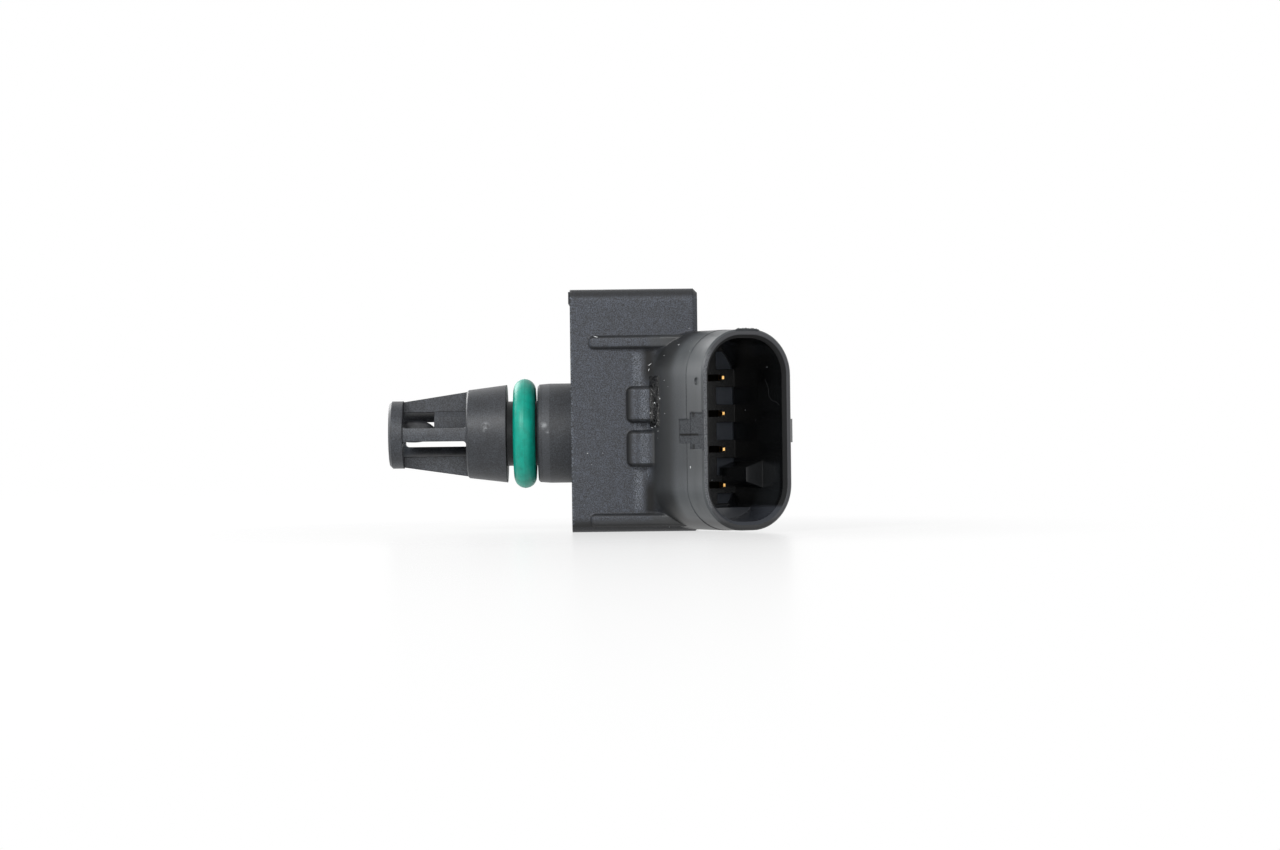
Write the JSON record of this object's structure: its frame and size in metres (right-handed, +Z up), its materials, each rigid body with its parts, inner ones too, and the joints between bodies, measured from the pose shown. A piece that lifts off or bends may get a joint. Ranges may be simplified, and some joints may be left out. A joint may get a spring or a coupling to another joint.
{
  "type": "manifold absolute pressure sensor",
  "caption": "Manifold pressure and air temperature sensor: moulded case with an angled connector shroud, a screw lug behind, and a caged probe with a seal ring.",
  "frame": {"origin": "centre of the probe's spigot on the mounting face", "axes": "-X along the probe into the manifold, +Y towards the screw lug, +Z up along the case"},
  "size_m": [0.0481, 0.0493, 0.0287],
  "materials": {
    "housing_plastic": "fine spark-eroded",
    "port_plastic": "satin",
    "ring_rubber": "satin",
    "bushing_brass": "satin",
    "adhesive": "satin",
    "cell_frame_plastic": "matt",
    "pedestal_glass": "polished",
    "silicon": "polished",
    "bond_wire": "bright",
    "gel": "gloss",
    "board": "satin",
    "bead_epoxy": "satin",
    "lead_metal": "bright",
    "terminal_brass": "bright",
    "capacitor_body": "matt"
  },
  "bodies": {
    "root": {"housing": "housing_plastic", "pressure_port": "port_plastic", "o_ring": "ring_rubber", "mounting_bushing": "bushing_brass", "port_adhesive": "adhesive", "cell_seal": "adhesive", "cell_frame": "cell_frame_plastic", "glass_pedestal": "pedestal_glass", "pressure_die": "silicon", "signal_chip": "silicon", "bond_wires": "bond_wire", "protective_gel": "gel", "circuit_board": "board", "thermistor_bead": "bead_epoxy", "thermistor_lead_1": "lead_metal", "thermistor_lead_2": "lead_metal", "terminal_1": "terminal_brass", "terminal_2": "terminal_brass", "terminal_3": "terminal_brass", "terminal_4": "terminal_brass", "capacitor_1": "capacitor_body", "capacitor_2": "capacitor_body", "capacitor_3": "capacitor_body", "capacitor_4": "capacitor_body"}
  },
  "joints": []
}
